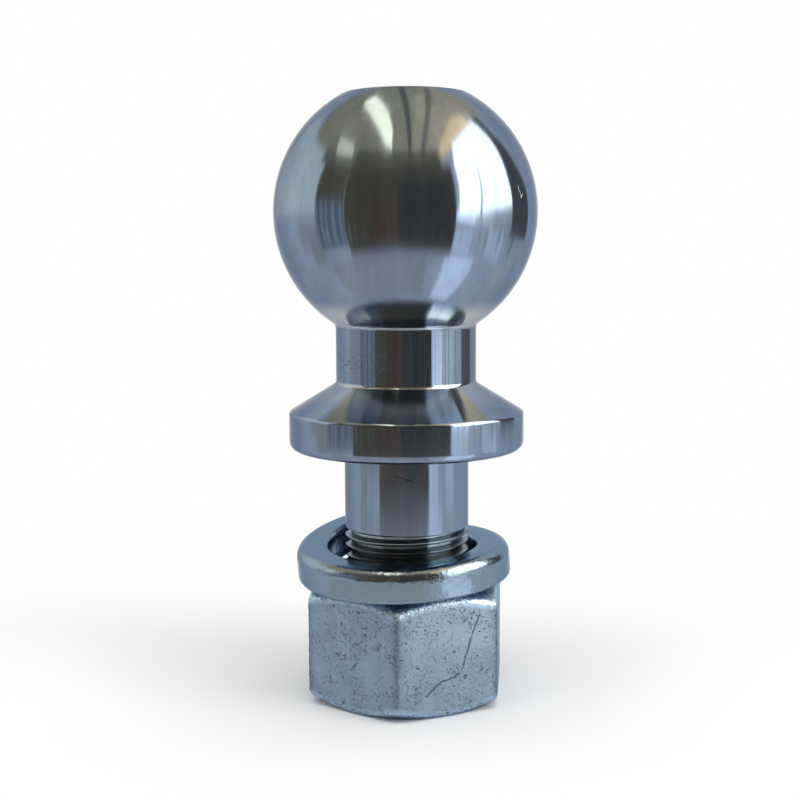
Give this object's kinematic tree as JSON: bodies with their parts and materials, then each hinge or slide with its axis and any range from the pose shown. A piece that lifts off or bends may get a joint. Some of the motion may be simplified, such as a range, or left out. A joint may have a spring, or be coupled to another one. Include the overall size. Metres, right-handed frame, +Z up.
{
  "type": "tow ball",
  "caption": "Tow ball: turned steel ball on a necked, flanged and threaded shank, with a split spring washer and hex nut.",
  "frame": {"origin": "centre of the seat, the flat underside of the flange, on the shank's axis", "axes": "+Z up the axis from the thread to the ball; -Y is the side the picture shows, +X to its right"},
  "size_m": [0.05, 0.05, 0.115],
  "materials": {
    "turned_chrome": "polished, with fine turning marks on the shank",
    "zinc_washer": "bright blue zinc, smooth",
    "zinc_nut": "bright blue zinc over a forged skin, scratched"
  },
  "bodies": {
    "stud": {"ball_stud": "turned_chrome"},
    "washer": {"spring_washer": "zinc_washer"},
    "nut": {"hex_nut": "zinc_nut"}
  },
  "joints": [
    {"name": "nut_travel", "type": "slide", "parent": "stud", "child": "washer", "axis": [0, 0, 1], "range_m": [0, 0.009]},
    {"name": "nut_turn", "type": "hinge", "parent": "washer", "child": "nut", "pos_m": [0, 0, -0.0369], "axis": [0, 0, 1], "range_deg": [0, 1801]}
  ],
  "couplings": [
    {"joint": "nut_turn", "follows": "nut_travel", "rad_per_m": 3490.7}
  ]
}
